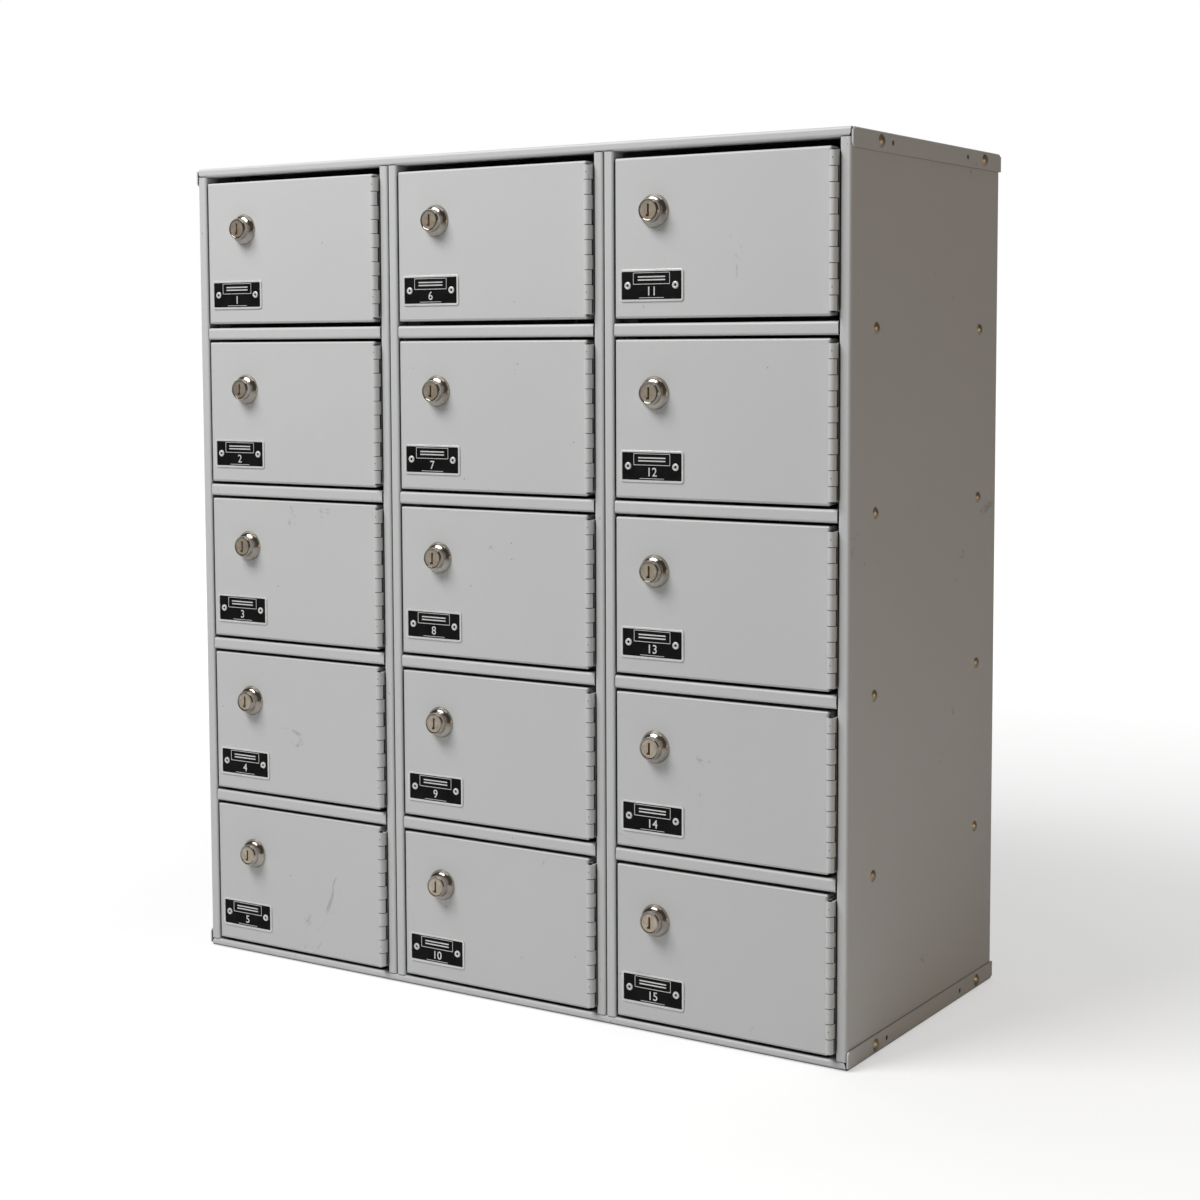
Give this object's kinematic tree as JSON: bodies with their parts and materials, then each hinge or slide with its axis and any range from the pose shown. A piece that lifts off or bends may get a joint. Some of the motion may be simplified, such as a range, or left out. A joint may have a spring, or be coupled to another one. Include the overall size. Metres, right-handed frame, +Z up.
{
  "type": "parcel locker",
  "caption": "Wall or table-top parcel locker in grey sheet steel, with columns of small hinged doors, each with a key lock and a numbered plate.",
  "frame": {"origin": "middle of the bounding box's footprint, on the surface that the base rests on", "axes": "+Z up, +Y from the doors to the back, +X to the right as seen from the front"},
  "size_m": [0.7034, 0.3152, 0.762],
  "materials": {
    "paint": "satin",
    "side_paint": "satin",
    "lock_nickel": "polished",
    "plate_black": "satin",
    "zinc": "satin"
  },
  "bodies": {
    "cabinet": {"top_panel": "paint", "base_panel": "paint", "left_side_panel": "side_paint", "right_side_panel": "side_paint", "divider_1_left": "paint", "divider_1_right": "paint", "divider_2_left": "paint", "divider_2_right": "paint", "back_panel": "paint", "shelves": "paint", "strikes": "paint", "hinge_frame_leaves": "paint", "hinge_pins": "paint", "shelf_rivets": "zinc", "case_bolts": "zinc"},
    "door_01": {"door_01": "paint", "door_01_fittings": "lock_nickel"},
    "lock_01": {"door_01_lock_plug": "lock_nickel"},
    "door_02": {"door_02": "paint", "door_02_fittings": "lock_nickel"},
    "lock_02": {"door_02_lock_plug": "lock_nickel"},
    "door_03": {"door_03": "paint", "door_03_fittings": "lock_nickel"},
    "lock_03": {"door_03_lock_plug": "lock_nickel"},
    "door_04": {"door_04": "paint", "door_04_fittings": "lock_nickel"},
    "lock_04": {"door_04_lock_plug": "lock_nickel"},
    "door_05": {"door_05": "paint", "door_05_fittings": "lock_nickel"},
    "lock_05": {"door_05_lock_plug": "lock_nickel"},
    "door_06": {"door_06": "paint", "door_06_fittings": "lock_nickel"},
    "lock_06": {"door_06_lock_plug": "lock_nickel"},
    "door_07": {"door_07": "paint", "door_07_fittings": "lock_nickel"},
    "lock_07": {"door_07_lock_plug": "lock_nickel"},
    "door_08": {"door_08": "paint", "door_08_fittings": "lock_nickel"},
    "lock_08": {"door_08_lock_plug": "lock_nickel"},
    "door_09": {"door_09": "paint", "door_09_fittings": "lock_nickel"},
    "lock_09": {"door_09_lock_plug": "lock_nickel"},
    "door_10": {"door_10": "paint", "door_10_fittings": "lock_nickel"},
    "lock_10": {"door_10_lock_plug": "lock_nickel"},
    "door_11": {"door_11": "paint", "door_11_fittings": "lock_nickel"},
    "lock_11": {"door_11_lock_plug": "lock_nickel"},
    "door_12": {"door_12": "paint", "door_12_fittings": "lock_nickel"},
    "lock_12": {"door_12_lock_plug": "lock_nickel"},
    "door_13": {"door_13": "paint", "door_13_fittings": "lock_nickel"},
    "lock_13": {"door_13_lock_plug": "lock_nickel"},
    "door_14": {"door_14": "paint", "door_14_fittings": "lock_nickel"},
    "lock_14": {"door_14_lock_plug": "lock_nickel"},
    "door_15": {"door_15": "paint", "door_15_fittings": "lock_nickel"},
    "lock_15": {"door_15_lock_plug": "lock_nickel"}
  },
  "joints": [
    {"name": "door_01_hinge", "type": "hinge", "parent": "cabinet", "child": "door_01", "pos_m": [-0.12937, -0.15045, 0.6804], "axis": [0, 0, 1], "range_deg": [0, 165]},
    {"name": "lock_01_turn", "type": "hinge", "parent": "door_01", "child": "lock_01", "pos_m": [-0.2899, -0.14715, 0.7026], "axis": [0, 1, 0], "range_deg": [0, 90]},
    {"name": "door_02_hinge", "type": "hinge", "parent": "cabinet", "child": "door_02", "pos_m": [-0.12937, -0.15045, 0.5284], "axis": [0, 0, 1], "range_deg": [0, 165]},
    {"name": "lock_02_turn", "type": "hinge", "parent": "door_02", "child": "lock_02", "pos_m": [-0.2899, -0.14715, 0.5506], "axis": [0, 1, 0], "range_deg": [0, 90]},
    {"name": "door_03_hinge", "type": "hinge", "parent": "cabinet", "child": "door_03", "pos_m": [-0.12937, -0.15045, 0.3779], "axis": [0, 0, 1], "range_deg": [0, 165]},
    {"name": "lock_03_turn", "type": "hinge", "parent": "door_03", "child": "lock_03", "pos_m": [-0.2899, -0.14715, 0.4001], "axis": [0, 1, 0], "range_deg": [0, 90]},
    {"name": "door_04_hinge", "type": "hinge", "parent": "cabinet", "child": "door_04", "pos_m": [-0.12937, -0.15045, 0.2274], "axis": [0, 0, 1], "range_deg": [0, 165]},
    {"name": "lock_04_turn", "type": "hinge", "parent": "door_04", "child": "lock_04", "pos_m": [-0.2899, -0.14715, 0.2496], "axis": [0, 1, 0], "range_deg": [0, 90]},
    {"name": "door_05_hinge", "type": "hinge", "parent": "cabinet", "child": "door_05", "pos_m": [-0.12937, -0.15045, 0.0769], "axis": [0, 0, 1], "range_deg": [0, 165]},
    {"name": "lock_05_turn", "type": "hinge", "parent": "door_05", "child": "lock_05", "pos_m": [-0.2899, -0.14715, 0.0991], "axis": [0, 1, 0], "range_deg": [0, 90]},
    {"name": "door_06_hinge", "type": "hinge", "parent": "cabinet", "child": "door_06", "pos_m": [0.10227, -0.15045, 0.6804], "axis": [0, 0, 1], "range_deg": [0, 165]},
    {"name": "lock_06_turn", "type": "hinge", "parent": "door_06", "child": "lock_06", "pos_m": [-0.06177, -0.14715, 0.7026], "axis": [0, 1, 0], "range_deg": [0, 90]},
    {"name": "door_07_hinge", "type": "hinge", "parent": "cabinet", "child": "door_07", "pos_m": [0.10227, -0.15045, 0.5284], "axis": [0, 0, 1], "range_deg": [0, 165]},
    {"name": "lock_07_turn", "type": "hinge", "parent": "door_07", "child": "lock_07", "pos_m": [-0.06177, -0.14715, 0.5506], "axis": [0, 1, 0], "range_deg": [0, 90]},
    {"name": "door_08_hinge", "type": "hinge", "parent": "cabinet", "child": "door_08", "pos_m": [0.10227, -0.15045, 0.3779], "axis": [0, 0, 1], "range_deg": [0, 165]},
    {"name": "lock_08_turn", "type": "hinge", "parent": "door_08", "child": "lock_08", "pos_m": [-0.06177, -0.14715, 0.4001], "axis": [0, 1, 0], "range_deg": [0, 90]},
    {"name": "door_09_hinge", "type": "hinge", "parent": "cabinet", "child": "door_09", "pos_m": [0.10227, -0.15045, 0.2274], "axis": [0, 0, 1], "range_deg": [0, 165]},
    {"name": "lock_09_turn", "type": "hinge", "parent": "door_09", "child": "lock_09", "pos_m": [-0.06177, -0.14715, 0.2496], "axis": [0, 1, 0], "range_deg": [0, 90]},
    {"name": "door_10_hinge", "type": "hinge", "parent": "cabinet", "child": "door_10", "pos_m": [0.10227, -0.15045, 0.0769], "axis": [0, 0, 1], "range_deg": [0, 165]},
    {"name": "lock_10_turn", "type": "hinge", "parent": "door_10", "child": "lock_10", "pos_m": [-0.06177, -0.14715, 0.0991], "axis": [0, 1, 0], "range_deg": [0, 90]},
    {"name": "door_11_hinge", "type": "hinge", "parent": "cabinet", "child": "door_11", "pos_m": [0.3339, -0.15045, 0.6804], "axis": [0, 0, 1], "range_deg": [0, 165]},
    {"name": "lock_11_turn", "type": "hinge", "parent": "door_11", "child": "lock_11", "pos_m": [0.16637, -0.14715, 0.7026], "axis": [0, 1, 0], "range_deg": [0, 90]},
    {"name": "door_12_hinge", "type": "hinge", "parent": "cabinet", "child": "door_12", "pos_m": [0.3339, -0.15045, 0.5284], "axis": [0, 0, 1], "range_deg": [0, 165]},
    {"name": "lock_12_turn", "type": "hinge", "parent": "door_12", "child": "lock_12", "pos_m": [0.16637, -0.14715, 0.5506], "axis": [0, 1, 0], "range_deg": [0, 90]},
    {"name": "door_13_hinge", "type": "hinge", "parent": "cabinet", "child": "door_13", "pos_m": [0.3339, -0.15045, 0.3779], "axis": [0, 0, 1], "range_deg": [0, 165]},
    {"name": "lock_13_turn", "type": "hinge", "parent": "door_13", "child": "lock_13", "pos_m": [0.16637, -0.14715, 0.4001], "axis": [0, 1, 0], "range_deg": [0, 90]},
    {"name": "door_14_hinge", "type": "hinge", "parent": "cabinet", "child": "door_14", "pos_m": [0.3339, -0.15045, 0.2274], "axis": [0, 0, 1], "range_deg": [0, 165]},
    {"name": "lock_14_turn", "type": "hinge", "parent": "door_14", "child": "lock_14", "pos_m": [0.16637, -0.14715, 0.2496], "axis": [0, 1, 0], "range_deg": [0, 90]},
    {"name": "door_15_hinge", "type": "hinge", "parent": "cabinet", "child": "door_15", "pos_m": [0.3339, -0.15045, 0.0769], "axis": [0, 0, 1], "range_deg": [0, 165]},
    {"name": "lock_15_turn", "type": "hinge", "parent": "door_15", "child": "lock_15", "pos_m": [0.16637, -0.14715, 0.0991], "axis": [0, 1, 0], "range_deg": [0, 90]}
  ]
}
